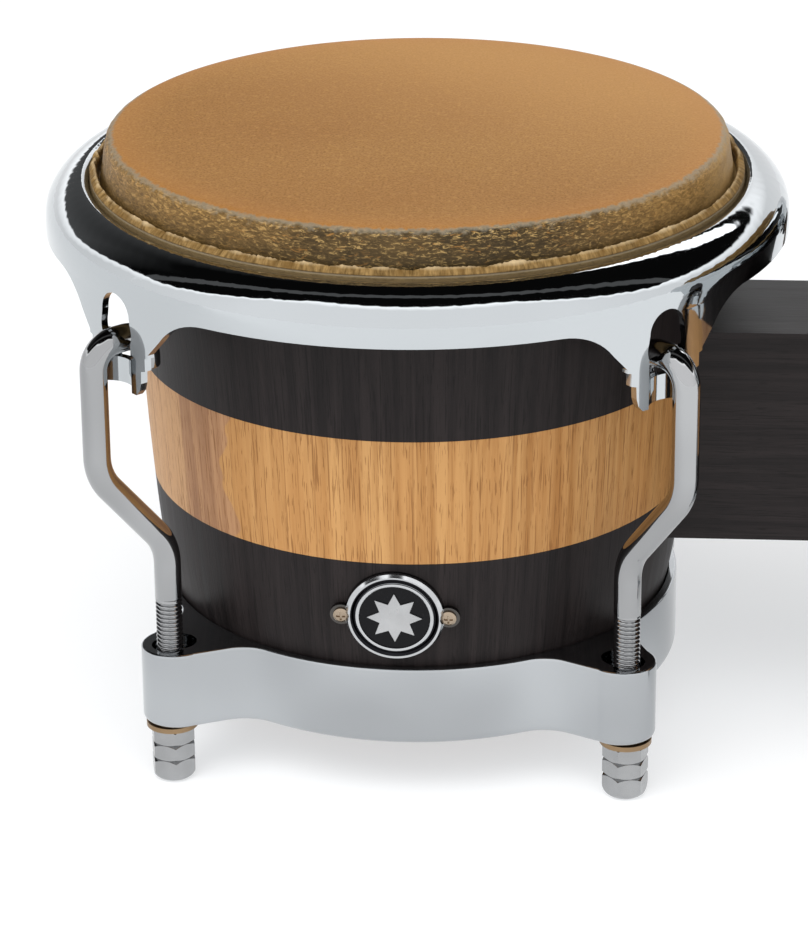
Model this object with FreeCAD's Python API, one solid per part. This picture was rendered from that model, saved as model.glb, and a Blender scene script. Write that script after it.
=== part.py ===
import FreeCAD, Part
import os
from math import sin, cos, tan, radians, degrees, atan2, hypot, pi

# A pair of bongo drums joined by a wooden centre block.
# Millimetres, +Z up, z = 0 at the feet.  The larger drum stands at -X and the
# smaller at +X, and the badge side faces -Y.

V = FreeCAD.Vector
UP = V(0, 0, 1)

# ---- driving dimensions ------------------------------------------------------
LARGE_HEAD_R = 109.5        # 8 5/8 in head
SMALL_HEAD_R = 92.0         # 7 1/4 in head
AXIS_SPACING = 256.0        # distance between the two drum axes
LARGE_TURN = -2.0           # hardware turned on the shell, degrees
SMALL_TURN = 0.0
BADGE_TURN = 0.7            # share of that turn which the badge has

HEAD_Z = 218.0              # playing surface above the feet
RING_Z0, RING_Z1 = 22.3, 51.3
RING_OUT, RING_IN, RING_LEDGE = 94.2, 91.5, 77.0
LEDGE_T = 3.0
BOSS_R, BOSS_AT = 11.8, 111.5
WEB_HALF, WEB_AT = 21.5, 84.0
WEB_FILLET = 15.0
WEB_TANGENT = 35.0          # where a web leaves its boss, degrees off the tangent
BOSS_SLOT_R, BOSS_SLOT = 6.2, (109.5, 113.8)
RING_TOP_FILLET, RING_LOW_FILLET = 0.9, 3.0

RIM_T = 2.6                 # rim plate thickness
RIM_R = 131.5               # rim outer radius
SKIRT_Z = 185.0             # lower edge of the rim between the lugs
EAR_Z = 153.4               # lower edge of the ears
HOLE_TOP_Z, HOLE_TOP_R = 179.6, 7.7
HOLE_LOW_Z, HOLE_LOW_R = 174.2, 8.6
CHANNEL_AT, CHANNEL_R = 136.5, 9.5
CHANNEL_Z = 172.0           # upper end of the channel, inside the hole
NOTCH_HALF, NOTCH_Z = 5.2, 162.4    # where a hook passes over the channel's wall

ROD_R, THREAD_R = 4.75, 4.70
ROD_OUT, ROD_IN, ROD_TIP = 141.2, 113.5, 119.2
HOOK_Z, HOOK_BEND = 170.5, 9.0
ROD_BEND_Z = (123.0, 90.0)
ROD_BEND = 20.0
THREAD_Z = 67.0
ROD_END_Z = 2.7

WASHER_R, WASHER_BORE, WASHER_T = 9.2, 5.0, 1.8
NUT_AF, NUT_H, FOOT_H = 14.3, 6.0, 8.5
NUT_BORE = 4.78
FOOT_BORE_Z = 2.2

BADGE_Z, BADGE_R = 72.5, 17.0
BADGE_EAR, BADGE_SCREW_AT, SCREW_HEAD_R = 3.9, 18.6, 2.8
STAR_POINTS, STAR_OUT, STAR_IN = 8, 9.6, 5.6

BLOCK_Z0, BLOCK_Z1, BLOCK_HALF = 73.7, 152.7, 27.0
BOLT_Z = (96.0, 128.0)
BOLT_R, BOLT_HEAD_AF, BOLT_HEAD_H = 3.9, 13.0, 5.3
BOLT_LENGTH = 32.0
INSERT_R, INSERT_L = 6.0, 22.0
PLATE_T, PLATE_HALF, PLATE_Z = 3.0, 17.0, (84.0, 140.0)
PLATE_GAP = 0.5

# shell and skin profiles of the larger drum, (radius, height)
SHELL_OUT = [(105.2, 214.6), (106.8, 210.5), (105.3, 195), (103.6, 180), (101.7, 163),
             (99.4, 139), (97.8, 113), (96.2, 92.5), (94.4, 73), (92.8, 61), (90.9, 51.3),
             (87.8, 38), (85.0, 25.3)]
SHELL_IN = [(75.5, 25.3), (78.5, 38), (82.3, 56), (85.7, 85), (87.8, 112), (90.4, 145),
            (93.0, 175), (95.0, 200), (97.5, 212.5)]
SHELL_EDGE = [(100.0, 215.8), (103.6, 216.2)]
SKIN_OUT = [(0, 218.4), (60, 218.4), (103, 218.2), (106.2, 218.0), (107.9, 217.5),
            (109.1, 216.5), (109.8, 214.8), (110.5, 211.5), (111.3, 206.5), (111.6, 202.6)]
SKIN_LIP = [(112.1, 200.6), (112.4, 205.9), (113.7, 206.8), (115.1, 205.8), (115.5, 200.8),
            (115.6, 199.2), (117.9, 199.15), (118.4, 198.5), (118.4, 190.6), (117.7, 189.9),
            (111.2, 189.9)]
SKIN_IN = [(110.4, 190.8), (109.9, 200), (108.9, 207), (108.1, 212.2), (107.2, 215.0),
           (105.6, 216.5), (102, 216.8), (0, 216.9)]
HOOP = (112.2, 117.0, 191.4, 197.9)
RIM_OUT = [(116.1, 202.0), (117.0, 202.9), (120.6, 203.1), (124.9, 201.4), (128.4, 198.3),
           (130.7, 194.4), (131.5, 190.0), (131.5, SKIRT_Z)]
RIM_IN = [(128.9, SKIRT_Z), (128.9, 190.0), (128.2, 193.2), (126.4, 196.1), (123.8, 198.3),
          (120.6, 199.6)]
RIM_LIP = [(118.8, 199.5), (116.1, 199.5)]


# ---- helpers -------------------------------------------------------------------
def spin(profile, shift=0.0):
    """Solid of revolution about Z of a closed (radius, height) outline."""
    pts = [V(max(r + shift, 0) if r > 0 else 0, 0, z) for r, z in profile]
    face = Part.Face(Part.makePolygon(pts + [pts[0]]))
    return face.revolve(V(0, 0, 0), UP, 360)


def smooth_spin(chains, shift=0.0):
    """Revolved section whose sides are smooth curves, joined by straight lines."""
    sides = []
    for chain in chains:
        curve = Part.BSplineCurve()
        curve.interpolate([V(r + shift if r > 0 else 0, 0, z) for r, z in chain])
        sides.append(curve.toShape())
    edges = []
    for i, side in enumerate(sides):
        edges.append(side)
        after = sides[(i + 1) % len(sides)]
        start, end = side.valueAt(side.LastParameter), after.valueAt(after.FirstParameter)
        if (end - start).Length > 1e-6:
            edges.append(Part.makeLine(start, end))
    face = Part.Face(Part.Wire(Part.__sortEdges__(edges)))
    return face.revolve(V(0, 0, 0), UP, 360)


def cyl(r, z0, z1, x=0.0, y=0.0):
    return Part.makeCylinder(r, z1 - z0, V(x, y, z0))


def box(x0, x1, y0, y1, z0, z1):
    return Part.makeBox(x1 - x0, y1 - y0, z1 - z0, V(x0, y0, z0))


def hexagon(af, z0, z1, x=0.0, y=0.0, turn=0.0):
    r = af / 2 / cos(radians(30))
    pts = [V(x + r * cos(radians(60 * i + turn)), y + r * sin(radians(60 * i + turn)), z0)
           for i in range(7)]
    return Part.Face(Part.makePolygon(pts)).extrude(V(0, 0, z1 - z0))


def turned(shape, deg):
    out = shape.copy()
    out.rotate(V(0, 0, 0), UP, deg)
    return out


def moved(shape, x):
    out = shape.copy()
    out.translate(V(x, 0, 0))
    return out


def rounded_path(points, radii):
    """Wire of straight runs and tangent arcs through points in one plane."""
    edges, last = [], points[0]
    for i in range(1, len(points) - 1):
        p, a, b = points[i], points[i - 1], points[i + 1]
        u, v = (a - p).normalize(), (b - p).normalize()
        half = u.getAngle(v) / 2
        cut = radii[i - 1] / tan(half)
        start, end = p + u * cut, p + v * cut
        centre = p + (u + v).normalize() * (radii[i - 1] / sin(half))
        mid = centre + (p - centre).normalize() * radii[i - 1]
        if (start - last).Length > 1e-6:
            edges.append(Part.makeLine(last, start))
        edges.append(Part.Arc(start, mid, end).toShape())
        last = end
    edges.append(Part.makeLine(last, points[-1]))
    return Part.Wire(edges)


# ---- one lug's pieces, built with the lug plane at azimuth 0 ----------------------
def ear_outline():
    """Half outline of an ear as (tangential, height), from the skirt down to the bottom."""
    right = [(41.0, SKIRT_Z + 3), (41.0, SKIRT_Z)]
    cx, cz, r = 41.0, SKIRT_Z - 23.0, 23.0
    for deg in range(84, 35, -6):
        right.append((cx - r * cos(radians(deg)), cz + r * sin(radians(deg))))
    right += [(18.6, 171.4), (16.8, 169.4), (16.8, 168.2), (15.2, 167.8), (15.2, 163.2),
              (13.2, 162.6), (13.0, 158.2), (12.2, 155.4), (10.4, EAR_Z)]
    return right


def ear(rim_r):
    half = ear_outline()
    pts = [V(100, t, z) for t, z in half] + [V(100, -t, z) for t, z in reversed(half)]
    prism = Part.Face(Part.makePolygon(pts + [pts[0]])).extrude(V(50, 0, 0))
    plate = cyl(rim_r, EAR_Z - 1, SKIRT_Z + 2).cut(cyl(rim_r - RIM_T, EAR_Z - 2, SKIRT_Z + 3))
    plate = plate.common(prism)
    at = rim_r + CHANNEL_AT - RIM_R
    edge = rim_r - RIM_T / 2
    groove = cyl(CHANNEL_R, EAR_Z - 2, SKIRT_Z + 1, at)
    wall = cyl(CHANNEL_R + RIM_T, EAR_Z, CHANNEL_Z, at).cut(groove)
    wall = wall.common(box(edge - 20, edge, -20, 20, EAR_Z, CHANNEL_Z))
    wall = wall.cut(box(edge - 20, edge - 1.5, -NOTCH_HALF, NOTCH_HALF, NOTCH_Z, CHANNEL_Z + 1))
    plate = plate.cut(groove.common(box(edge - 30, edge + 30, -20, 20, EAR_Z - 2, CHANNEL_Z)))
    return plate.fuse(wall)


def ear_hole():
    """Arched opening: a smaller circle over a larger one, joined by straight sides."""
    a = Part.makeCylinder(HOLE_TOP_R, 60, V(95, 0, HOLE_TOP_Z), V(1, 0, 0))
    b = Part.makeCylinder(HOLE_LOW_R, 60, V(95, 0, HOLE_LOW_Z), V(1, 0, 0))
    pts = [V(95, -HOLE_TOP_R, HOLE_TOP_Z), V(95, HOLE_TOP_R, HOLE_TOP_Z),
           V(95, HOLE_LOW_R, HOLE_LOW_Z), V(95, -HOLE_LOW_R, HOLE_LOW_Z)]
    return a.fuse(b).fuse(Part.Face(Part.makePolygon(pts + [pts[0]])).extrude(V(60, 0, 0)))


def rod(shift):
    """Tuning rod: a hook over the ear's lip, a double bend and a threaded end."""
    xs = [ROD_TIP, ROD_TIP, ROD_OUT, ROD_OUT, ROD_IN, ROD_IN]
    zs = [158.0, HOOK_Z, HOOK_Z, ROD_BEND_Z[0], ROD_BEND_Z[1], THREAD_Z - 4]
    pts = [V(x + shift, 0, z) for x, z in zip(xs, zs)]
    path = rounded_path(pts, [HOOK_BEND, HOOK_BEND, ROD_BEND, ROD_BEND])
    ring = Part.Wire(Part.makeCircle(ROD_R, pts[0], V(0, 0, 1)))
    body = path.makePipeShell([ring], True, True)
    x = ROD_IN + shift
    chamfer = 1.0
    thread = cyl(THREAD_R, ROD_END_Z + chamfer, THREAD_Z, x)
    tip = Part.makeCone(THREAD_R - chamfer, THREAD_R, chamfer, V(x, 0, ROD_END_Z))
    shoulder = Part.makeCone(THREAD_R, ROD_R, 0.8, V(x, 0, THREAD_Z))
    return body.fuse([thread, tip, shoulder]).removeSplitter()


def hex_nut(x, z0, height):
    r = NUT_AF / 2 / cos(radians(30))
    c = 0.9
    limit = spin([(0, z0), (r - 1.3, z0), (r, z0 + c), (r, z0 + height - c),
                  (r - 1.3, z0 + height), (0, z0 + height)])
    nut = hexagon(NUT_AF, z0, z0 + height).common(limit)
    nut = nut.cut(cyl(NUT_BORE, z0 - 1, z0 + height + 1))
    return moved(nut, x)


def foot_nut(x):
    """Closed nut with a rounded lower end, the drum's foot."""
    r = NUT_AF / 2 / cos(radians(30))
    side = [(0, 0), (4.3, 0)]
    for deg in range(15, 91, 15):
        a = radians(deg)
        side.append((4.3 + (r - 4.3) * sin(a), 4.4 - 4.4 * cos(a)))
    side += [(r, FOOT_H - 0.9), (r - 1.3, FOOT_H), (0, FOOT_H)]
    nut = hexagon(NUT_AF, 0, FOOT_H).common(spin(side))
    return moved(nut.cut(cyl(NUT_BORE, FOOT_BORE_Z, FOOT_H + 1)), x)


# ---- pieces of one drum about its own axis ------------------------------------------
def shell(shift):
    return smooth_spin([SHELL_EDGE, SHELL_OUT, SHELL_IN], shift)


def shell_outer_solid(shift):
    return smooth_spin([SHELL_OUT, [(0, 24), (0, 214.6)]], shift)


def head_skin(shift):
    profile = []
    for r, z in SKIN_OUT + SKIN_LIP + SKIN_IN:
        near_centre = r <= 60 and z > 210
        profile.append((r if near_centre else r + shift, z))
    pts = [V(r, 0, z) for r, z in profile]
    solid = Part.Face(Part.makePolygon(pts + [pts[0]])).revolve(V(0, 0, 0), UP, 360)
    return solid.cut(flesh_hoop(shift))


def flesh_hoop(shift):
    r0, r1, z0, z1 = HOOP
    return spin([(r0, z0), (r1, z0), (r1, z1), (r0, z1)], shift)


def rim(shift, lugs):
    body = smooth_spin([RIM_OUT, RIM_IN, RIM_LIP], shift)
    r = RIM_R + shift
    piece = ear(r)
    hole = moved(ear_hole(), shift)
    cuts = []
    for az in lugs:
        body = body.fuse(turned(piece, az))
        cuts.append(turned(hole, az))
    for cut in cuts:
        body = body.cut(cut)
    return body.removeSplitter()


def ring_blank(shift, lugs):
    """Full-height ring blank: a disc with four bosses joined to it by filleted webs."""
    z0, height = RING_Z0, V(0, 0, RING_Z1 - RING_Z0)
    c, s = cos(radians(WEB_TANGENT)), sin(radians(WEB_TANGENT))
    px, py = BOSS_AT + shift + BOSS_R * s, BOSS_R * c
    slope = (py - WEB_HALF) / (px - WEB_AT - shift)
    root = RING_OUT + shift - 22
    half = py - slope * (px - root)
    pts = [V(px, py, z0), V(root, half, z0), V(root, -half, z0), V(px, -py, z0)]
    web = Part.Face(Part.makePolygon(pts + [pts[0]])).extrude(height)
    lug = web.fuse(cyl(BOSS_R, z0, RING_Z1, BOSS_AT + shift))
    blank = cyl(RING_OUT + shift, z0, RING_Z1)
    blank = blank.fuse([turned(lug, az) for az in lugs]).removeSplitter()
    corners = []
    for edge in blank.Edges:
        p = edge.CenterOfMass
        upright = abs(edge.BoundBox.ZLength - height.z) < 1e-6 and edge.BoundBox.DiagonalLength < 30
        if upright and abs(hypot(p.x, p.y) - RING_OUT - shift) < 0.5:
            corners.append(edge)
    blank = blank.makeFillet(WEB_FILLET, corners)
    blank = blank.makeFillet(RING_TOP_FILLET, edges_at(blank, RING_Z1))
    return blank.makeFillet(RING_LOW_FILLET, edges_at(blank, RING_Z0))


def edges_at(shape, z):
    """Edges that lie flat at one height."""
    def flat(box):
        return abs(box.ZMin - z) < 1e-6 and abs(box.ZMax - z) < 1e-6
    return [e for e in shape.Edges if flat(e.BoundBox)]


def bottom_ring(shift, lugs):
    solid = ring_blank(shift, lugs)
    cuts = [cyl(RING_IN + shift, RING_Z0 + LEDGE_T, RING_Z1 + 1),
            cyl(RING_LEDGE + shift, RING_Z0 - 1, RING_Z0 + LEDGE_T + 1)]
    for az in lugs:
        a, b = (v + shift for v in BOSS_SLOT)
        slot = cyl(BOSS_SLOT_R, RING_Z0 - 1, RING_Z1 + 1, a)
        slot = slot.fuse([cyl(BOSS_SLOT_R, RING_Z0 - 1, RING_Z1 + 1, b),
                          box(a, b, -BOSS_SLOT_R, BOSS_SLOT_R, RING_Z0 - 1, RING_Z1 + 1)])
        cuts.append(turned(slot, az))
    for cut in cuts:
        solid = solid.cut(cut)
    return solid.removeSplitter()


def washers(shift, lugs):
    x = ROD_IN + shift
    one = cyl(WASHER_R, RING_Z0 - WASHER_T, RING_Z0, x)
    one = one.cut(cyl(WASHER_BORE, RING_Z0 - WASHER_T - 1, RING_Z0 + 1, x))
    return Part.makeCompound([turned(one, az) for az in lugs])


def shell_radius(z, profile):
    pts = sorted((h, r) for r, h in profile)
    for (h0, r0), (h1, r1) in zip(pts, pts[1:]):
        if h0 <= z <= h1:
            return r0 + (r1 - r0) * (z - h0) / (h1 - h0)
    return pts[-1][1]


def on_badge_plane(shape, shift, turn):
    """Place a badge piece, modelled lying on the XY plane, on the front of the shell."""
    low, high = shell_radius(BADGE_Z - 12, SHELL_OUT), shell_radius(BADGE_Z + 12, SHELL_OUT)
    tilt = degrees(atan2(high - low, 24.0))
    out = shape.copy()
    out.rotate(V(0, 0, 0), V(1, 0, 0), 90 + tilt)
    out.translate(V(0, -shell_radius(BADGE_Z, SHELL_OUT) - shift - 0.05, BADGE_Z))
    return turned(out, turn)


def badge_body():
    plate = spin([(0, -1.6), (BADGE_R - 0.4, -1.6), (BADGE_R, 0.2), (BADGE_R, 1.4), (16.2, 2.4),
                  (15.0, 2.4), (14.2, 1.5), (0, 1.5)])
    inner = spin([(12.4, 1.0), (13.5, 1.0), (13.5, 2.2), (13.2, 2.4), (12.7, 2.4), (12.4, 2.2)])
    for side in (-1, 1):
        tab = cyl(BADGE_EAR, -0.9, 0.8, side * BADGE_SCREW_AT)
        plate = plate.fuse(tab)
    plate = plate.cut(spin([(0, 1.0), (12.4, 1.0), (12.4, 3.0), (0, 3.0)]))
    plate = plate.fuse(inner)
    for side in (-1, 1):
        plate = plate.cut(cyl(1.75, -3, 3, side * BADGE_SCREW_AT))
        plate = plate.cut(cyl(SCREW_HEAD_R + 0.1, 0.8, 3, side * BADGE_SCREW_AT))
    return plate


def badge_enamel():
    """Dark filled centre of the badge."""
    return spin([(0, 1.0), (12.35, 1.0), (12.35, 1.7), (0, 1.7)])


def badge_emblem():
    """Raised plain eight-pointed star."""
    pts = []
    for i in range(2 * STAR_POINTS + 1):
        r = STAR_OUT if i % 2 == 0 else STAR_IN
        a = pi * (i / STAR_POINTS + 0.5)
        pts.append(V(r * cos(a), r * sin(a), 1.7))
    return Part.Face(Part.makePolygon(pts)).extrude(V(0, 0, 0.5))


def badge_screw_set():
    out = []
    for side in (-1, 1):
        x = side * BADGE_SCREW_AT
        head = spin([(0, 0.85), (SCREW_HEAD_R, 0.85), (2.7, 1.5), (1.9, 2.1), (0, 2.3)])
        slots = box(-1.6, 1.6, -0.35, 0.35, 1.5, 3).fuse(box(-0.35, 0.35, -1.6, 1.6, 1.5, 3))
        screw = head.cut(slots).fuse(cyl(1.45, -7.5, 0.9))
        out.append(moved(screw, x))
    return Part.makeCompound(out)


def badge_recess(shift, turn):
    """Clearance in the shell wall for the badge's back and its screws."""
    cuts = [cyl(BADGE_R + 0.2, -2.0, 6)]
    for side in (-1, 1):
        cuts.append(cyl(BADGE_EAR + 0.2, -1.2, 6, side * BADGE_SCREW_AT))
        cuts.append(cyl(1.5, -8.5, 6, side * BADGE_SCREW_AT))
    solid = cuts[0].fuse(cuts[1:])
    return on_badge_plane(solid, shift, turn)


# ---- centre block and its fixings -------------------------------------------------
def side_cyl(r, x0, x1, z):
    return Part.makeCylinder(r, x1 - x0, V(x0, 0, z), V(1, 0, 0))


def inner_radius(z, shift):
    return shell_radius(z, SHELL_IN) + shift


def backing_plate(shift):
    """Curved plate against the inside of the shell, on the block's side (+X)."""
    outer = [(r + shift - PLATE_GAP, z) for r, z in SHELL_IN]
    ring = spin([(r, z) for r, z in outer] + [(r - PLATE_T, z) for r, z in reversed(outer)])
    plate = ring.common(box(0, 200, -PLATE_HALF, PLATE_HALF, *PLATE_Z))
    for z in BOLT_Z:
        plate = plate.cut(side_cyl(BOLT_R + 0.2, 0, 200, z))
    return plate


def block_bolts(shift, length):
    out = []
    for z in BOLT_Z:
        seat = inner_radius(z, shift) - PLATE_GAP - PLATE_T - 0.8
        hexa = hexagon(BOLT_HEAD_AF, 0, BOLT_HEAD_H)
        hexa.rotate(V(0, 0, 0), V(0, 1, 0), 90)
        hexa.translate(V(seat - BOLT_HEAD_H, 0, z))
        out.append(hexa.fuse(side_cyl(BOLT_R, seat - 1, seat + length, z)))
    return Part.makeCompound(out)


def drum(name, head_r, axis_x, turn, to_block):
    """All pieces of one drum, with the block on its +X side when to_block is 1."""
    shift = head_r - LARGE_HEAD_R
    lugs = [turn + a for a in (-135, -45, 45, 135)]
    badge_turn = turn * BADGE_TURN
    wall = shell(shift).cut(badge_recess(shift, badge_turn))
    for z in BOLT_Z:
        x0, x1 = (0, 200) if to_block > 0 else (-200, 0)
        wall = wall.cut(side_cyl(BOLT_R + 0.2, x0, x1, z))
    plate, bolts = backing_plate(shift), block_bolts(shift, BOLT_LENGTH)
    if to_block < 0:
        plate, bolts = turned(plate, 180), turned(bolts, 180)
    pieces = {
        "shell": wall,
        "head_skin": head_skin(shift),
        "flesh_hoop": flesh_hoop(shift),
        "rim": rim(shift, lugs),
        "bottom_ring": bottom_ring(shift, lugs),
        "washers": washers(shift, lugs),
        "badge": on_badge_plane(badge_body(), shift, badge_turn),
        "badge_enamel": on_badge_plane(badge_enamel(), shift, badge_turn),
        "badge_emblem": on_badge_plane(badge_emblem(), shift, badge_turn),
        "badge_screws": on_badge_plane(badge_screw_set(), shift, badge_turn),
        "backing_plate": plate,
        "block_bolts": bolts,
    }
    lug_rod = rod(shift)
    x = ROD_IN + shift
    top = RING_Z0 - WASHER_T
    nuts = Part.makeCompound([hex_nut(x, top - NUT_H, NUT_H), hex_nut(x, top - 2 * NUT_H, NUT_H)])
    foot = foot_nut(x)
    for i, az in enumerate(lugs, 1):
        pieces["rod_%d" % i] = turned(lug_rod, az)
        pieces["nuts_%d" % i] = turned(nuts, az)
        pieces["foot_nut_%d" % i] = turned(foot, az)
    return {"%s_%s" % (name, k): moved(s, axis_x) for k, s in pieces.items()}


def block_pieces(x_large, x_small, shift_small):
    body = box(x_large, x_small, -BLOCK_HALF, BLOCK_HALF, BLOCK_Z0, BLOCK_Z1)
    body = body.cut(moved(shell_outer_solid(0), x_large))
    body = body.cut(moved(shell_outer_solid(shift_small), x_small))
    inserts = []
    for z in BOLT_Z:
        a = x_large + shell_radius(z, SHELL_OUT) + 1.5
        b = x_small - shell_radius(z, SHELL_OUT) - shift_small - 1.5
        for x0, x1 in ((a, a + INSERT_L), (b - INSERT_L, b)):
            sleeve = side_cyl(INSERT_R, x0, x1, z)
            body = body.cut(side_cyl(INSERT_R, x0 - 8, x1, z) if x0 == a
                            else side_cyl(INSERT_R, x0, x1 + 8, z))
            inserts.append(sleeve.cut(side_cyl(BOLT_R, x0 - 1, x1 + 1, z)))
    return {"center_block": body, "block_inserts": Part.makeCompound(inserts)}


def build():
    # the pair is centred on the middle of its overall length
    left = RIM_R
    right = RIM_R + SMALL_HEAD_R - LARGE_HEAD_R
    x_large = -(left + AXIS_SPACING + right) / 2 + left
    x_small = x_large + AXIS_SPACING
    pieces = drum("large", LARGE_HEAD_R, x_large, LARGE_TURN, 1)
    pieces.update(drum("small", SMALL_HEAD_R, x_small, SMALL_TURN, -1))
    pieces.update(block_pieces(x_large, x_small, SMALL_HEAD_R - LARGE_HEAD_R))
    return pieces


os.makedirs("parts", exist_ok=True)
for node, shape in build().items():
    shape.exportStep("parts/%s.step" % node)
    print(node, "valid" if shape.isValid() else "INVALID", "solids", len(shape.Solids),
          "cm3 %.2f" % (shape.Volume / 1000))
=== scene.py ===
from math import atan2, cos, degrees, pi, radians, sin

import bpy
from mathutils import Matrix, Vector, noise


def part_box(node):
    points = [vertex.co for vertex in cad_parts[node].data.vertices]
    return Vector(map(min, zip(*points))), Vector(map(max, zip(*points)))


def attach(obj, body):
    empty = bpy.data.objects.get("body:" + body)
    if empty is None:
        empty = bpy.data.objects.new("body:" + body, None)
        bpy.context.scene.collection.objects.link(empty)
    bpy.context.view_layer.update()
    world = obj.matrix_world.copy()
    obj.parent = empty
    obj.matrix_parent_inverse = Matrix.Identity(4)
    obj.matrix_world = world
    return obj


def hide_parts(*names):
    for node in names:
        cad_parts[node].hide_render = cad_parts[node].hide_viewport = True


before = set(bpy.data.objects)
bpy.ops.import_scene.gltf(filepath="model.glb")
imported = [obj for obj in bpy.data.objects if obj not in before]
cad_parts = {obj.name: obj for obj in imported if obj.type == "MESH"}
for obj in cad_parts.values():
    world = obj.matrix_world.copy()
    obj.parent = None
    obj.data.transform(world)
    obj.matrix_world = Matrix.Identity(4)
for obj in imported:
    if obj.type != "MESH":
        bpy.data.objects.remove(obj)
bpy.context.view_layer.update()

# A pair of bongo drums on a pale studio floor.  Metres, +Z up, z = 0 at the feet.
# The CAD model gives every place and size; this script adds finishes and fine shapes.

MM = 0.001
HOOP_RADIUS = 117.0 * MM                 # outside of the larger drum's flesh hoop
LUG_ANGLES = (-135, -45, 45, 135)        # the four rods, in degrees round the drum

# Radii are the larger drum's. The smaller drum's differ from them by Drum.shift.
# Shell: the clear lacquered band, the staves, and the middle of its leaning wall.
BAND_TOP, BAND_LOW = 139.0 * MM, 92.5 * MM
GRAIN_RADIUS = 98 * MM                   # where distances round the shell are measured
WALL_RADIUS, WALL_Z, WALL_LEAN = 84.5 * MM, 51 * MM, 0.11
STAVES, STAVE_OFFSET = 18, 0.37
HEART_EDGE, HEART_WIDTH = radians(-128), radians(15)     # a pinker plank, paler behind it
BLEND = 1 * MM                           # width of a soft edge between two woods

# Badge: a blackened groove between its rings, and two screw lugs outside them, darkened as painted
# shade round the screws.
GROOVE_IN, GROOVE_OUT, LUG_IN, EDGE = 13.55 * MM, 15.35 * MM, 17.1 * MM, 0.1 * MM

# Head: where each part of the hide begins.
HIDE_RADIUS = 113 * MM                   # where distances round the hide are measured
BEND_RADIUS = 107.4 * MM                 # grey line where the face turns into the wall
COLLAR_RADIUS, COLLAR_TOP = 112.6 * MM, 210.0 * MM     # the cut edge is outside and below
SEAM_Z = 204.25 * MM                     # dark seam: frayed edge above, smooth strip below
TIPS_LOW, TIPS_HIGH = 206.0 * MM, 207.2 * MM           # the frayed edge pales over this
SHADE_HIGH, SHADE_LOW = 213.5 * MM, 206.0 * MM         # the wall darkens over this


# ---- the two drums -----------------------------------------------------------------
def centre_of(node):
    low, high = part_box(node)
    return (low + high) / 2


class Drum:
    """Where one drum stands, and how much its radii differ from the larger drum's."""

    def __init__(self, name):
        self.name = name
        self.x = centre_of(name + "_flesh_hoop").x
        low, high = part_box(name + "_flesh_hoop")
        self.shift = (high.x - low.x) / 2 - HOOP_RADIUS
        rod = centre_of(name + "_foot_nut_1")
        self.turn = degrees(atan2(rod.y, rod.x - self.x)) - LUG_ANGLES[0]
        self.top = name + "_top"


DRUMS = [Drum("large"), Drum("small")]


# ---- node graph helpers --------------------------------------------------------------
class Graph:
    """A node tree, built with short calls. Inputs are numbers, tuples or sockets."""

    def __init__(self, owner):
        """The owner is a material or a world, or the name of a new material."""
        if isinstance(owner, str):
            owner = bpy.data.materials.new(owner)
        owner.use_nodes = True
        self.material, self.tree = owner, owner.node_tree
        self.shader = self.tree.nodes.get("Principled BSDF")

    def add(self, kind, inputs=None, **settings):
        made = self.tree.nodes.new("ShaderNode" + kind)
        for key, value in settings.items():
            setattr(made, key, value)
        for key, value in (inputs or {}).items():
            self.put(made.inputs[key], value)
        return made

    def put(self, socket, value):
        if isinstance(value, bpy.types.NodeSocket):
            self.tree.links.new(value, socket)
        elif isinstance(value, tuple) and len(value) == 3 and socket.type == "RGBA":
            socket.default_value = (*value, 1.0)
        else:
            socket.default_value = value

    def math(self, operation, a, b=0.0, c=0.0, clamp=False):
        made = self.add("Math", {0: a, 1: b, 2: c}, operation=operation, use_clamp=clamp)
        return made.outputs[0]

    def length(self, a, b):
        total = self.math("ADD", self.math("MULTIPLY", a, a), self.math("MULTIPLY", b, b))
        return self.math("SQRT", total)

    def vector(self, x, y, z):
        return self.add("CombineXYZ", {0: x, 1: y, 2: z}).outputs[0]

    def noise(self, vector, scale, detail=3.0, rough=0.5, distort=0.0):
        made = self.add("TexNoise", {"Vector": vector, "Scale": scale, "Detail": detail,
                                     "Roughness": rough, "Distortion": distort})
        return made.outputs["Fac"]

    def ramp(self, value, low, high, to_low=0.0, to_high=1.0, smooth=False):
        kind = "SMOOTHSTEP" if smooth else "LINEAR"
        made = self.add("MapRange", {0: value, 1: low, 2: high, 3: to_low, 4: to_high},
                        interpolation_type=kind)
        return made.outputs[0]

    def mix(self, factor, a, b, blend="MIX"):
        made = self.add("Mix", data_type="RGBA", blend_type=blend)
        self.put(made.inputs[0], factor)
        self.put(made.inputs[6], a)
        self.put(made.inputs[7], b)
        return made.outputs[2]

    def position(self):
        """The point's place in the frame, in metres, as three sockets and the vector."""
        vector = self.add("TexCoord").outputs["Object"]
        parts = self.add("SeparateXYZ", {0: vector}).outputs
        return vector, parts[0], parts[1], parts[2]

    def bump(self, height, strength, distance):
        made = self.add("Bump", {"Height": height, "Strength": strength, "Distance": distance})
        self.put(self.shader.inputs["Normal"], made.outputs[0])

    def set(self, **values):
        for key, value in values.items():
            self.put(self.shader.inputs[key.replace("_", " ")], value)
        return self


def around(graph, drum, radius):
    """(distance round the drum at that radius, true radius, height) in metres, as sockets."""
    _, x, y, z = graph.position()
    local = graph.math("SUBTRACT", x, drum.x)
    angle = graph.math("ARCTAN2", y, local)
    return graph.math("MULTIPLY", angle, radius), graph.length(local, y), z


def scaled(color, factor):
    return tuple(c * factor for c in color)


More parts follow.
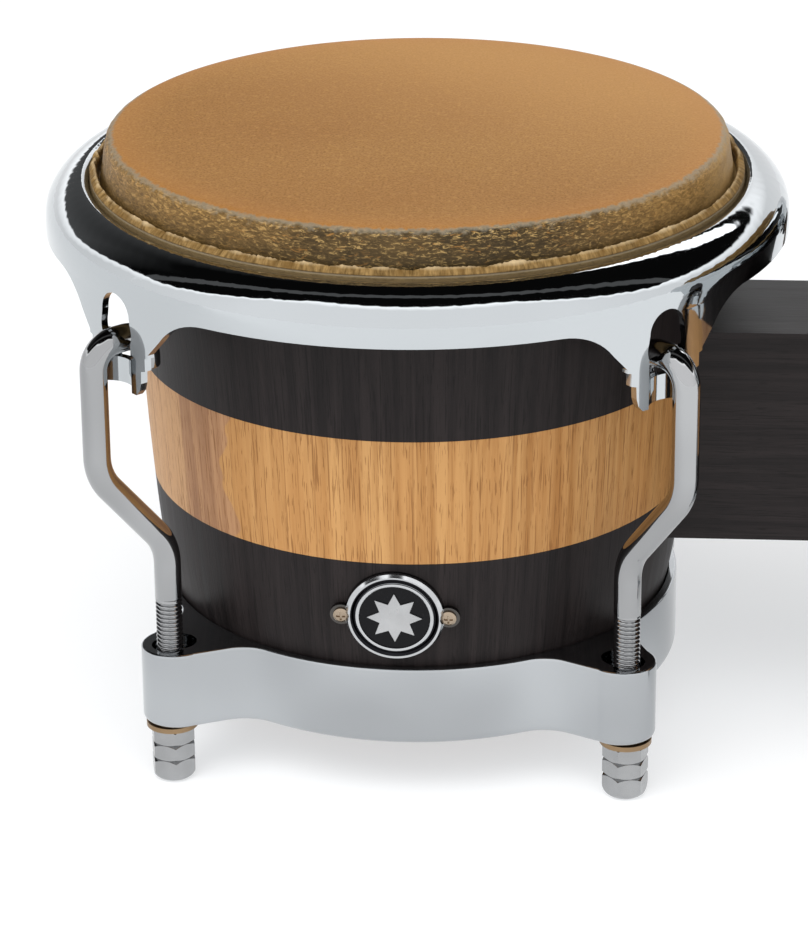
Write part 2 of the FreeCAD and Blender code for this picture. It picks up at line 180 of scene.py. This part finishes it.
# ---- materials ----------------------------------------------------------------------
def chrome(name, color, roughness=0.035, smudge=0.03, wave=0.05, reflection_patchiness=0.02):
    """Polished plating with faint polishing haze, tiny waviness and painted reflection patches."""
    g = Graph(name)
    vector, *_ = g.position()
    haze = g.noise(vector, 38.0, 4.0, 0.6)
    fine = g.noise(vector, 900.0, 2.0)
    rough = g.math("ADD", g.ramp(haze, 0.4, 0.75, roughness, roughness + smudge),
                   g.ramp(fine, 0.6, 0.8, 0.0, 0.02))
    # Painted reflection: broad lighter and darker patches stand in for the varied surroundings seen
    # in the plating.
    reflection_patches = g.ramp(g.noise(vector, 11.0, 2.0), 0.36, 0.64, smooth=True)
    tone = g.mix(reflection_patches, scaled(color, 1 - reflection_patchiness), scaled(color, 1 + reflection_patchiness))
    g.set(Base_Color=tone, Metallic=1.0, Roughness=rough)
    g.bump(g.noise(vector, 26.0, 2.0), wave, 0.6 * MM)
    return g.material


def satin_metal(name, color, roughness=0.28, grain=500.0):
    """Plated hardware with a fine turned or tumbled texture."""
    g = Graph(name)
    vector, *_ = g.position()
    fine = g.noise(vector, grain, 4.0, 0.65)
    broad = g.noise(vector, 90.0, 3.0)
    tone = g.mix(g.ramp(broad, 0.35, 0.7), scaled(color, 0.86), color)
    rough = g.ramp(fine, 0.3, 0.75, roughness * 0.7, roughness * 1.5)
    g.set(Base_Color=tone, Metallic=1.0, Roughness=rough)
    g.bump(fine, 0.25, 0.2 * MM)
    return g.material


def wood_grain(g, along, across, seed):
    """Streaks, broad figure and short pores of an open-grained wood, each 0..1."""
    def stretched(fine, coarse):
        return g.vector(g.math("MULTIPLY", across, fine), g.math("MULTIPLY", along, coarse), seed)
    streak = g.noise(stretched(260.0, 7.0), 1.0, 6.0, 0.68, 0.5)
    figure = g.noise(stretched(60.0, 7.0), 1.0, 3.0, 0.5, 0.9)
    long_pores = g.noise(stretched(1700.0, 38.0), 1.0, 2.0, 0.55, 0.1)
    short_pores = g.noise(stretched(2300.0, 120.0), 1.0, 2.0, 0.5)
    pores = g.math("MAXIMUM", long_pores, g.math("SUBTRACT", short_pores, 0.02))
    return streak, figure, pores


def stained(g, streak, pores):
    """Near-black stain over open grain."""
    dark = g.mix(g.ramp(streak, 0.38, 0.62), (0.0105, 0.0082, 0.0082), (0.0205, 0.0160, 0.0158))
    return g.mix(g.ramp(pores, 0.58, 0.66, 0.0, 0.60), dark, (0.0045, 0.0036, 0.0036))


def heart_plank(g, streak, u, middle):
    """Pinker wood of one plank, paler at its far side."""
    pale_edge = (HEART_EDGE - HEART_WIDTH) * middle
    pink = g.mix(g.ramp(streak, 0.36, 0.62), (0.300, 0.148, 0.070), (0.430, 0.235, 0.118))
    return g.mix(g.ramp(u, pale_edge, pale_edge - BLEND), pink, (0.500, 0.285, 0.135))


def clear_wood(g, u, z, middle, chance, joint, grain):
    """Lacquered light wood: each stave a little different, with brown pores and thin joints."""
    streak, figure, pores = grain
    light = g.mix(g.ramp(streak, 0.36, 0.62), (0.335, 0.154, 0.046), (0.515, 0.282, 0.106))
    light = g.mix(g.ramp(figure, 0.40, 0.62, 0.0, 0.45), light, (0.430, 0.198, 0.060))
    light = g.mix(g.ramp(chance, 0.2, 0.8, 0.0, 0.35), light, (0.540, 0.308, 0.124))
    along = g.noise(g.vector(0.0, g.math("MULTIPLY", z, 38.0), 3.0), 1.0, 2.0)
    waver = g.ramp(along, 0.3, 0.7, -6 * MM, 6 * MM)
    edge = HEART_EDGE * middle
    heart = g.ramp(g.math("ADD", u, waver), edge, edge - 0.8 * BLEND)
    light = g.mix(heart, light, heart_plank(g, streak, u, middle))
    light = g.mix(g.ramp(pores, 0.595, 0.635, 0.0, 0.68), light, (0.195, 0.078, 0.022))
    return g.mix(g.ramp(joint, 0.491, 0.499, 0.0, 0.35), light, (0.22, 0.10, 0.035))


def shell_wood(name, drum):
    """Staved shell: dark stained bands above and below a clear lacquered one, bare inside."""
    g = Graph(name)
    middle = GRAIN_RADIUS + drum.shift
    u, radius, z = around(g, drum, middle)
    place = g.math("ADD", g.math("MULTIPLY", u, STAVES / (2 * pi * middle)), STAVE_OFFSET)
    joint = g.math("ABSOLUTE", g.math("SUBTRACT", g.math("FRACT", place), 0.5))
    chance = g.add("TexWhiteNoise", {"W": g.math("FLOOR", place)},
                   noise_dimensions="1D").outputs["Value"]
    grain = wood_grain(g, z, u, g.math("MULTIPLY", chance, 37.0))
    streak, _, pores = grain
    light = clear_wood(g, u, z, middle, chance, joint, grain)
    outside = g.math("MULTIPLY", g.math("GREATER_THAN", z, BAND_LOW),
                     g.math("LESS_THAN", z, BAND_TOP))
    at_foot = WALL_RADIUS - WALL_Z * WALL_LEAN + drum.shift
    bare = g.math("LESS_THAN", radius, g.math("MULTIPLY_ADD", z, WALL_LEAN, at_foot))
    clear = g.math("MAXIMUM", outside, bare)
    g.set(Base_Color=g.mix(clear, stained(g, streak, pores), light),
          Roughness=g.ramp(streak, 0.3, 0.7, 0.42, 0.55), Specular_IOR_Level=0.14)
    g.bump(g.math("ADD", g.math("MULTIPLY", streak, 0.5), pores), 0.22, 0.3 * MM)
    return g.material


def block_wood(name):
    """Dark stained block with its grain along its length."""
    g = Graph(name)
    _, x, y, z = g.position()
    side = g.math("ADD", z, g.math("MULTIPLY", y, 0.7))
    streak, _, pores = wood_grain(g, x, side, 4.0)
    g.set(Base_Color=stained(g, streak, pores), Roughness=g.ramp(streak, 0.3, 0.7, 0.34, 0.44),
          Specular_IOR_Level=0.17)
    g.bump(g.math("ADD", g.math("MULTIPLY", streak, 0.5), pores), 0.20, 0.3 * MM)
    return g.material


def badge_plate(name, drum):
    """Plated badge: the groove and the shoulder beside it are blackened, the lugs are darkened as
    painted shade round the screws.
    """
    g = Graph(chrome(name, (0.50, 0.51, 0.52), 0.10))
    centre = centre_of(drum.name + "_badge_enamel")
    _, x, _, z = g.position()
    radius = g.length(g.math("SUBTRACT", x, centre.x), g.math("SUBTRACT", z, centre.z))
    groove = g.math("MULTIPLY", g.ramp(radius, GROOVE_IN - EDGE, GROOVE_IN),
                    g.ramp(radius, GROOVE_OUT + EDGE, GROOVE_OUT))
    # Painted shade: the lugs round the screws are darkened.
    lug_shade = g.ramp(radius, LUG_IN - EDGE, LUG_IN + EDGE)
    plating = g.shader.inputs["Base Color"].links[0].from_socket
    tone = g.mix(groove, plating, (0.012, 0.012, 0.014))
    g.set(Base_Color=g.mix(lug_shade, tone, (0.085, 0.080, 0.075)))
    return g.material


def enamel(name):
    """Black enamel with the faintest dust."""
    g = Graph(name)
    vector, *_ = g.position()
    speck = g.noise(vector, 1500.0, 2.0)
    g.set(Base_Color=g.mix(g.ramp(speck, 0.6, 0.8), (0.004, 0.004, 0.005), (0.012, 0.012, 0.014)),
          Roughness=g.ramp(speck, 0.3, 0.8, 0.16, 0.30), Specular_IOR_Level=0.14)
    return g.material


def hide_top(g, vector, across, back, radius):
    """Orange-tan face: leathery speckle, paler to the back right from a painted sheen, warmer near
    the bend.
    """
    fine = g.noise(vector, 1150.0, 4.0, 0.7)
    grain = g.noise(vector, 430.0, 3.0, 0.6)
    broad = g.noise(vector, 15.0, 3.0, 0.55)
    top = g.mix(g.ramp(broad, 0.35, 0.65), (0.330, 0.150, 0.033), (0.372, 0.182, 0.044))
    top = g.mix(g.ramp(fine, 0.42, 0.62, 0.0, 0.75), top, (0.200, 0.086, 0.016))
    top = g.mix(g.ramp(grain, 0.52, 0.70, 0.0, 0.42), top, (0.46, 0.245, 0.068))
    # Painted sheen: the face is painted paler towards the back right, where light glances off it.
    slope = g.math("ADD", g.math("MULTIPLY", across, 0.45), g.math("MULTIPLY", back, 0.75))
    painted_sheen = g.ramp(slope, -30 * MM, 95 * MM, 0.0, 0.6, smooth=True)
    top = g.mix(painted_sheen, top, (0.52, 0.270, 0.082))
    warmer = g.ramp(radius, 92 * MM, 106 * MM, 0.0, 0.40)
    return g.mix(warmer, top, (0.43, 0.19, 0.048)), fine, grain


def hide_wall(g, squeezed, vector, across, z):
    """Dark olive wall with pale and orange flecks that lie along it, painted lighter and tanner at
    the sides and far right where light falls on it.
    """
    worm = g.noise(squeezed, 900.0, 3.0, 0.68, 0.9)
    fleck = g.noise(squeezed, 520.0, 3.0, 0.6, 0.8)
    patch = g.noise(vector, 45.0, 3.0)
    wall = g.mix(g.ramp(worm, 0.43, 0.59), (0.024, 0.016, 0.006), (0.084, 0.053, 0.018))
    wall = g.mix(g.ramp(worm, 0.56, 0.64, 0.0, 0.95), wall, (0.42, 0.280, 0.105))
    wall = g.mix(g.ramp(fleck, 0.60, 0.70, 0.0, 0.8), wall, (0.34, 0.165, 0.040))
    wall = g.mix(g.ramp(patch, 0.45, 0.70, 0.0, 0.35), wall, (0.175, 0.105, 0.036))
    # Painted light: the wall turns a lit tan towards both sides and paler still at the far right.
    side_lit_wall = g.mix(g.ramp(worm, 0.36, 0.62), (0.150, 0.082, 0.022), (0.335, 0.190, 0.058))
    wall = g.mix(g.ramp(across, 0.0, -95 * MM, 0.0, 0.75, smooth=True), wall, side_lit_wall)
    wall = g.mix(g.ramp(across, 35 * MM, 105 * MM, 0.0, 0.95, smooth=True), wall, side_lit_wall)
    shade = g.ramp(z, SHADE_HIGH, SHADE_LOW, 0.0, 0.45, smooth=True)
    wall = g.mix(shade, wall, (0.030, 0.021, 0.008))
    lit_far_right = g.ramp(across, 98 * MM, 112 * MM, 0.0, 0.7, smooth=True)
    return g.mix(lit_far_right, wall, (0.46, 0.29, 0.11)), worm


def hide_collar(g, u, z, worm):
    """Cut edge: pale frayed fibres above a dark seam, smooth tan strip below it."""
    def upright(fine, coarse, seed):
        return g.vector(g.math("MULTIPLY", u, fine), g.math("MULTIPLY", z, coarse), seed)
    strands = g.noise(upright(900.0, 260.0, 2.0), 1.0, 4.0, 0.65)
    lobes = g.noise(upright(260.0, 120.0, 5.0), 1.0, 2.0)
    fray = g.mix(g.ramp(strands, 0.36, 0.64), (0.120, 0.068, 0.019), (0.310, 0.195, 0.072))
    fray = g.mix(g.ramp(lobes, 0.50, 0.64, 0.0, 0.6), fray, (0.150, 0.080, 0.020))
    fray = g.mix(g.ramp(z, TIPS_LOW, TIPS_HIGH, 0.0, 0.7), fray, (0.60, 0.46, 0.27))
    strip = g.mix(g.ramp(worm, 0.35, 0.65), (0.082, 0.056, 0.024), (0.160, 0.112, 0.050))
    strip = g.mix(g.ramp(z, SEAM_Z - 0.65 * MM, SEAM_Z - 1.65 * MM, 0.0, 0.5), strip,
                  (0.215, 0.145, 0.066))
    strip = g.mix(g.ramp(z, SEAM_Z - 0.7 * MM, SEAM_Z - 0.3 * MM, 0.0, 0.7), strip,
                  (0.30, 0.245, 0.165))
    below = g.ramp(z, SEAM_Z + 0.2 * MM, SEAM_Z - 0.1 * MM)
    return g.mix(below, fray, strip), strands


def hide(name, drum):
    """Tanned hide: playing face, grey bend line, mottled wall and the cut edge over the hoop."""
    g = Graph(name)
    vector, x, y, z = g.position()
    u, radius, _ = around(g, drum, HIDE_RADIUS + drum.shift)
    size = g.math("SUBTRACT", radius, drum.shift)
    across = g.math("SUBTRACT", x, drum.x)
    face, fine, grain = hide_top(g, vector, across, y, size)
    squeezed = g.vector(g.math("MULTIPLY", u, 0.42), g.math("MULTIPLY", size, 1.0),
                        g.math("MULTIPLY", z, 1.25))
    wall, worm = hide_wall(g, squeezed, vector, across, z)
    wavy = g.math("ADD", size, g.ramp(grain, 0.3, 0.7, -0.8 * MM, 0.8 * MM))
    bend = BEND_RADIUS
    colour = g.mix(g.ramp(wavy, bend - 0.6 * MM, bend + 0.6 * MM), face, wall)
    line = g.math("MULTIPLY", g.ramp(wavy, bend - 0.9 * MM, bend),
                  g.ramp(wavy, bend + 1.8 * MM, bend + 0.5 * MM))
    colour = g.mix(g.math("MULTIPLY", line, 0.62), colour, (0.275, 0.238, 0.172))
    collar, strands = hide_collar(g, u, z, worm)
    folded = g.math("MULTIPLY", g.math("GREATER_THAN", size, COLLAR_RADIUS),
                    g.math("LESS_THAN", z, COLLAR_TOP))
    colour = g.mix(folded, colour, collar)
    rough = g.mix(folded, g.ramp(fine, 0.3, 0.7, 0.46, 0.60), g.ramp(strands, 0.3, 0.7, 0.70, 0.85))
    g.set(Base_Color=colour, Roughness=rough, Specular_IOR_Level=0.18)
    on_wall = g.ramp(size, bend, bend + 1 * MM)
    relief = g.math("ADD", g.math("MULTIPLY", grain, 0.5), g.math("MULTIPLY", worm, on_wall))
    g.bump(g.math("ADD", relief, g.math("MULTIPLY", strands, folded)), 0.35, 0.4 * MM)
    return g.material


# ---- fine shapes that stand for CAD nodes ----------------------------------------------
def make_piece(name, points, faces, body, node, material):
    """A smooth mesh that stands for a CAD node, rides on its body and hides the node it stands for.
    """
    mesh = bpy.data.meshes.new(name)
    mesh.from_pydata(points, [], faces)
    mesh.validate()
    mesh.shade_smooth()
    piece = bpy.data.objects.new(name, mesh)
    bpy.context.collection.objects.link(piece)
    mesh.materials.append(material)
    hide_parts(node)
    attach(piece, body)
    return piece


def arc(r, z, size, start, end, steps):
    """Points of a circular arc, angles in degrees from +r towards +z."""
    angles = (start + (end - start) * i / steps for i in range(steps + 1))
    return [(r + size * cos(radians(a)), z + size * sin(radians(a))) for a in angles]


def run(a, b, steps):
    """Points between two places, the first left out."""
    return [(a[0] + (b[0] - a[0]) * i / steps, a[1] + (b[1] - a[1]) * i / steps)
            for i in range(1, steps + 1)]


def around_noise(turn, radius, pitch, seed):
    """Smooth noise in -1..1 along a circle in mm, one swing about every pitch."""
    x, y = radius * cos(turn) / pitch, radius * sin(turn) / pitch
    return noise.noise(Vector((x, y, seed))) * 1.6


def fray_height(turn, radius, seed):
    """Height of the cut edge of the hide, in mm either way, and how far a pleat pushes it out."""
    slow = around_noise(turn, radius, 8.5, seed)
    pleat = around_noise(turn, radius, 3.0, seed + 5)
    fuzz = around_noise(turn, radius, 0.8, seed + 9)
    tight = max(0.0, -cos(turn))              # tighter pleats on the side away from the block
    rise = 0.85 * slow * (1 - 0.6 * tight) + 0.70 * pleat * (0.35 + 0.65 * tight) + 0.30 * fuzz
    return rise, 0.40 * slow + (0.22 + 0.40 * tight) * pleat


# head, (radius, height) in mm for the larger drum
HEAD_TOP, HEAD_UNDER = 218.3, 216.8
HIDE_SEGMENTS, FRAY_SEED = 1080, 8.0
FLAT_RADIUS = 60                         # inside this both drums' heads are the same
ROUGH_FIRST, ROUGH_LAST = 10, 28         # the section's uneven rows, mid-bend to first valley row
ROUGHNESS, LUMP_ROUND, LUMP_UP = 0.28, 6.0, 3.5


def hide_section(turn, radius, seed):
    """Closed section of the head at one angle, (radius, height) in mm, centre to centre."""
    rise, push = fray_height(turn, radius, seed)
    flat = [(r, HEAD_TOP) for r in (30, FLAT_RADIUS, 80, 96)]
    top = flat + [(101, 218.28), (104, 218.2)]
    bend = arc(105.7, 213.9, 4.25, 82, 6, 9)
    wall = run(bend[-1], (111.5, 203.0), 12)
    valley = [(111.7, 201.5), (112.2, 201.0), (112.7, 201.7)]
    inner = [(112.9, 203.6), (112.8 + push, 205.7 + 0.8 * rise)]
    edge = [(113.1 + push, 206.3 + rise), (113.45 + push, 206.7 + rise), (113.9 + push, 206.4 + rise)]
    face = [(114.5 + push, 205.8 + 0.6 * rise), (115.05 + 0.8 * push, 205.2 + 0.3 * rise),
            (115.35 + 0.5 * push, 204.7), (115.4, 204.42), (114.95, 204.2), (115.0, 203.98)]
    strip = [(115.38, 203.8), (115.5, 203.2), (115.52, 201.5), (115.55, 199.7), (116.0, 199.25)]
    foot = [(117.8, 199.2), (118.4, 198.6), (118.4, 190.6), (117.8, 190.0), (111.4, 189.9)]
    back = [(110.4, 190.8), (109.9, 200), (108.9, 207), (108.2, 212.2), (107.2, 215.0),
            (105.6, 216.4), (102, HEAD_UNDER), (FLAT_RADIUS, HEAD_UNDER)]
    return top + bend + wall + valley + inner + edge + face + strip + foot + back


def make_hide(drum, material):
    """The head as rings of the section, closed by a fan at the top and one underneath."""
    shift = drum.shift / MM
    points, faces = [(drum.x, 0, HEAD_TOP * MM)], []
    for i in range(HIDE_SEGMENTS):
        turn = 2 * pi * i / HIDE_SEGMENTS
        section = hide_section(turn, HIDE_RADIUS / MM + shift, FRAY_SEED)
        for row, (r, z) in enumerate(section):
            r += shift if r > FLAT_RADIUS else 0
            if ROUGH_FIRST <= row <= ROUGH_LAST:
                x, y = r * cos(turn), r * sin(turn)
                r += ROUGHNESS * noise.noise(Vector((x / LUMP_ROUND, y / LUMP_ROUND, z / LUMP_UP)))
            points.append((drum.x + r * MM * cos(turn), r * MM * sin(turn), z * MM))
    rows = (len(points) - 1) // HIDE_SEGMENTS
    points.append((drum.x, 0, HEAD_UNDER * MM))
    last = len(points) - 1
    for i in range(HIDE_SEGMENTS):
        a, b = 1 + i * rows, 1 + (i + 1) % HIDE_SEGMENTS * rows
        faces.append((0, a, b))
        faces += [(a + k, a + k + 1, b + k + 1, b + k) for k in range(rows - 1)]
        faces.append((a + rows - 1, last, b + rows - 1))
    make_piece(drum.name + "_hide", points, faces, drum.top, drum.name + "_head_skin",
               material)


# tuning rod, (distance from the drum's axis, height) in mm for the larger drum
ROD_RADIUS, ROD_SIDES = 4.75, 36
ROD_OUT, ROD_IN, ROD_TIP = 141.2, 113.5, 119.2
HOOK_TOP, HOOK_BEND, HOOK_END = 170.5, 9.0, 158.0
CRANK_TOP, CRANK_LOW, CRANK_BEND = 123.0, 90.0, 20.0
THREAD_TOP, THREAD_LOW, ROD_END = 70.0, 19.0, 2.9
THREAD_PITCH, THREAD_DEPTH, THREAD_STEPS = 1.5875, 0.92, 10
THREAD_RADIUS = ROD_RADIUS - 0.05
TIP_CHAMFER = ((0.0, ROD_RADIUS - 0.9), (0.25, ROD_RADIUS - 0.35), (0.8, ROD_RADIUS))
END_CHAMFER = ((ROD_END + 1.0, 4.7), (ROD_END, 3.8))


def rounded(points, sizes, steps):
    """Points in a plane joined by straight runs and arcs of the given radii."""
    out = [Vector(points[0])]
    for before, p, after, size in zip(points, points[1:], points[2:], sizes):
        p = Vector(p)
        u, v = (Vector(before) - p).normalized(), (Vector(after) - p).normalized()
        half = u.angle(v) / 2
        middle = p + (u + v).normalized() * (size / sin(half))
        a = p + u * (size * cos(half) / sin(half)) - middle
        b = p + v * (size * cos(half) / sin(half)) - middle
        whole = a.angle(b)
        for i in range(steps + 1):
            t = i / steps
            out.append(middle + (a * sin(whole * (1 - t)) + b * sin(whole * t)) / sin(whole))
    return out + [Vector(points[-1])]


def thread_radius(turn, z):
    """Rounded vee thread, fading out at both ends."""
    phase = (z / THREAD_PITCH - turn / (2 * pi)) % 1.0
    groove = 1 - min(1.0, abs(2 * phase - 1) * 1.25)
    fade = min(1.0, max(0.0, (THREAD_TOP - z) / 2.0), max(0.0, (z - THREAD_LOW) / 1.5))
    return THREAD_RADIUS - THREAD_DEPTH * groove * fade


ROD_TURNS = [2 * pi * k / ROD_SIDES for k in range(ROD_SIDES)]


def level_ring(centre, z, size_at):
    """A level ring of the rod's straight foot; size_at gives its radius at each turn."""
    return [(centre - size_at(t) * cos(t), size_at(t) * sin(t), z) for t in ROD_TURNS]


def rod_rings(shift):
    """Rings of (distance outwards, sideways, height) in mm from the hook's tip to the foot."""
    corners = [(ROD_TIP, HOOK_END), (ROD_TIP, HOOK_TOP), (ROD_OUT, HOOK_TOP), (ROD_OUT, CRANK_TOP),
               (ROD_IN, CRANK_LOW), (ROD_IN, THREAD_TOP)]
    path = rounded(corners, [HOOK_BEND, HOOK_BEND, CRANK_BEND, CRANK_BEND], 14)
    for i, p in enumerate(path):
        ahead = path[min(i + 1, len(path) - 1)] - path[max(i - 1, 0)]
        side = Vector((ahead.y, -ahead.x)).normalized()
        for rise, size in (TIP_CHAMFER if i == 0 else ((0, ROD_RADIUS),)):
            yield [(p.x + shift + side.x * size * cos(t), size * sin(t),
                    p.y + rise + side.y * size * cos(t)) for t in ROD_TURNS]
    centre = ROD_IN + shift
    step = THREAD_PITCH / THREAD_STEPS
    for n in range(1, int((THREAD_TOP - THREAD_LOW) / step) + 1):
        z = THREAD_TOP - n * step
        yield level_ring(centre, z, lambda t: thread_radius(t, z))
    for z, size in END_CHAMFER:
        yield level_ring(centre, z, lambda t: size)


def make_rod(drum, number, material):
    """One hooked rod as a closed tube of rings, at its place round the drum."""
    a = radians(LUG_ANGLES[number - 1] + drum.turn)
    points, rings = [], list(rod_rings(drum.shift / MM))
    for ring in rings:
        points += [(drum.x + (r * cos(a) - t * sin(a)) * MM, (r * sin(a) + t * cos(a)) * MM, z * MM)
                   for r, t, z in ring]
    faces = []
    for i in range(len(rings) - 1):
        for k in range(ROD_SIDES):
            a0, a1 = i * ROD_SIDES + k, i * ROD_SIDES + (k + 1) % ROD_SIDES
            faces.append((a0, a1, a1 + ROD_SIDES, a0 + ROD_SIDES))
    faces.append(tuple(range(ROD_SIDES - 1, -1, -1)))
    last = (len(rings) - 1) * ROD_SIDES
    faces.append(tuple(range(last, last + ROD_SIDES)))
    node = "%s_rod_%d" % (drum.name, number)
    make_piece(node + "_threaded", points, faces, drum.top, node, material)


# ---- assigning finishes to the CAD nodes ---------------------------------------------
def finish_node(node, material):
    """The CAD shape stays; only its material is set."""
    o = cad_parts[node]
    o.data.materials.clear()
    o.data.materials.append(material)


def paint():
    """Every node's finish, and the detailed pieces that stand for the rods and heads."""
    rim_chrome = chrome("rim_chrome", (0.50, 0.525, 0.54))
    rod_chrome = chrome("rod_chrome", (0.365, 0.37, 0.375), 0.07, wave=0.20, reflection_patchiness=0.10)
    ring_chrome = chrome("ring_chrome", (0.42, 0.437, 0.452), 0.08, wave=0.25, reflection_patchiness=0.12)
    nut_metal = satin_metal("nut_metal", (0.40, 0.405, 0.41), 0.20)
    brass = satin_metal("washer_brass", (0.33, 0.225, 0.13), 0.35)
    steel = satin_metal("plain_steel", (0.48, 0.48, 0.49), 0.38)
    screw = satin_metal("screw_steel", (0.40, 0.32, 0.24), 0.24)
    emblem = satin_metal("emblem_silver", (0.50, 0.505, 0.51), 0.34)
    black = enamel("badge_enamel")
    for drum in DRUMS:
        badge = badge_plate(drum.name + "_badge_chrome", drum)
        wood, skin = shell_wood(drum.name + "_wood", drum), hide(drum.name + "_hide", drum)
        finishes = {"shell": wood, "flesh_hoop": steel, "rim": rim_chrome,
                    "bottom_ring": ring_chrome, "washers": brass, "badge": badge,
                    "badge_enamel": black, "badge_emblem": emblem, "badge_screws": screw,
                    "backing_plate": steel, "block_bolts": steel}
        for i in (1, 2, 3, 4):
            make_rod(drum, i, rod_chrome)
            finishes["nuts_%d" % i] = nut_metal
            finishes["foot_nut_%d" % i] = nut_metal
        make_hide(drum, skin)
        for part, material in finishes.items():
            finish_node(drum.name + "_" + part, material)
    finish_node("center_block", block_wood("block_wood"))
    finish_node("block_inserts", brass)


paint()


# ---- studio --------------------------------------------------------------------------
FLOOR_SIZE = 14.0
SWEEP_SIDE, SWEEP_FRONT, SWEEP_BACK_LEFT = 25.0, 62.0, 12.0   # edge in degrees, and its drop
DARKEST, HAZE, STRIP_GLOW, PANEL_GLOW = 0.004, 0.095, 0.11, 2.6
CAMERA_PITCH, CAMERA_YAW, CAMERA_ROLL = radians(23.01), radians(-4.17), radians(0.52)
CAMERA_AT, CAMERA_LENS = (-0.02725, -1.339, 0.6575), 153.85


def make_floor():
    """Pale matt floor with a faint glow, stronger in front and to the right."""
    a = FLOOR_SIZE
    mesh = bpy.data.meshes.new("studio_floor")
    mesh.from_pydata([(-a, -a, 0), (a, -a, 0), (a, a, 0), (-a, a, 0)], [], [(0, 1, 2, 3)])
    floor = bpy.data.objects.new("studio_floor", mesh)
    bpy.context.collection.objects.link(floor)
    g = Graph("floor_white")
    vector, x, y, _ = g.position()
    across = g.math("SUBTRACT", g.math("MULTIPLY", x, 0.5), y)
    glow = g.mix(g.ramp(across, -0.15, 0.45, smooth=True), (0.53, 0.54, 0.55), (0.72, 0.73, 0.74))
    g.set(Base_Color=g.mix(g.noise(vector, 3.0), (0.46, 0.46, 0.46), (0.48, 0.48, 0.48)),
          Roughness=0.95, Specular_IOR_Level=0.0, Emission_Color=glow, Emission_Strength=1.0)
    mesh.materials.append(g.material)


def make_world():
    """A white sweep, dark above its edge, with a faint strip overhead and one soft panel."""
    world = bpy.data.worlds.new("studio")
    bpy.context.scene.world = world
    g = Graph(world)
    direction = g.add("TexCoord").outputs["Generated"]
    x, y, z = g.add("SeparateXYZ", {0: direction}).outputs
    level = g.math("ARCSINE", z)
    azimuth = g.math("ARCTAN2", x, y)         # 0 behind the drums, positive to the right
    side = g.math("ABSOLUTE", azimuth)

    def window(value, low, high, soft):
        """1 between two angles in degrees, falling to 0 over the soft margin."""
        return g.math("MULTIPLY", g.ramp(value, radians(low - soft), radians(low)),
                      g.ramp(value, radians(high + soft), radians(high)))

    # height of the sweep's upper edge, in degrees: high in front, low behind on the left
    edge = g.ramp(side, radians(95), radians(140), SWEEP_SIDE, SWEEP_FRONT, smooth=True)
    back_left = g.math("MULTIPLY", g.ramp(azimuth, radians(-80), radians(-55)),
                       g.ramp(azimuth, radians(-2), radians(-8)))
    edge = g.math("SUBTRACT", edge, g.math("MULTIPLY", back_left, SWEEP_BACK_LEFT))
    above = g.math("SUBTRACT", g.math("MULTIPLY", level, 180 / pi), edge)
    sweep = g.math("MULTIPLY", g.ramp(above, 0.8, -0.8),
                   g.ramp(side, radians(60), radians(130), 1.02, 1.26))
    sweep = g.math("MULTIPLY", sweep, g.ramp(above, -9.0, -2.0, 1.0, 1.5))
    haze = g.math("MULTIPLY", back_left, g.ramp(level, radians(50), radians(15), 0.0, HAZE))
    value = g.math("MAXIMUM", sweep, g.math("ADD", haze, DARKEST))
    over = g.math("ARCTAN2", z, g.math("MULTIPLY", y, -1.0))      # 90 overhead, more is behind
    value = g.math("ADD", value, g.math("MULTIPLY", window(over, 86, 94, 1), STRIP_GLOW))
    panel = g.math("MULTIPLY", window(azimuth, -4, 34, 1), window(level, 31, 42, 1))
    value = g.math("ADD", value, g.math("MULTIPLY", panel, PANEL_GLOW))
    colour = g.add("CombineColor", {0: value, 1: value, 2: g.math("MULTIPLY", value, 1.01)})
    background = g.tree.nodes["Background"]
    g.put(background.inputs["Color"], colour.outputs[0])
    g.put(background.inputs["Strength"], 1.0)


def make_sun(name, energy, spread, azimuth, elevation):
    """A soft distant light that mirrors don't show."""
    light = bpy.data.lights.new(name, "SUN")
    light.energy = energy
    light.angle = radians(spread)
    o = bpy.data.objects.new(name, light)
    a, e = radians(azimuth), radians(elevation)
    back = Vector((sin(a) * cos(e), -cos(a) * cos(e), sin(e)))
    o.rotation_mode = "QUATERNION"
    o.rotation_quaternion = (-back).to_track_quat("-Z", "Y")
    o.visible_glossy = False
    bpy.context.collection.objects.link(o)


def make_camera():
    """Long lens, looking down from the front."""
    pitch, yaw, roll = CAMERA_PITCH, CAMERA_YAW, CAMERA_ROLL
    forward = Vector((sin(yaw) * cos(pitch), cos(yaw) * cos(pitch), -sin(pitch)))
    level = Vector((cos(yaw), -sin(yaw), 0))
    down = forward.cross(level)
    right = cos(roll) * level + sin(roll) * down
    up = sin(roll) * level - cos(roll) * down
    data = bpy.data.cameras.new("camera")
    data.sensor_fit = "AUTO"
    data.sensor_width = 36.0
    data.lens = CAMERA_LENS
    data.clip_end = 60.0
    camera = bpy.data.objects.new("camera", data)
    pose = Matrix((right, up, -forward)).transposed().to_4x4()
    pose.translation = Vector(CAMERA_AT)
    camera.matrix_world = pose
    bpy.context.collection.objects.link(camera)
    bpy.context.scene.camera = camera


make_floor()
make_world()
make_sun("key", 1.55, 50, -35, 62)
make_sun("top", 0.75, 90, 20, 80)
make_camera()
bpy.context.scene.view_settings.view_transform = "Standard"
bpy.context.scene.view_settings.look = "None"
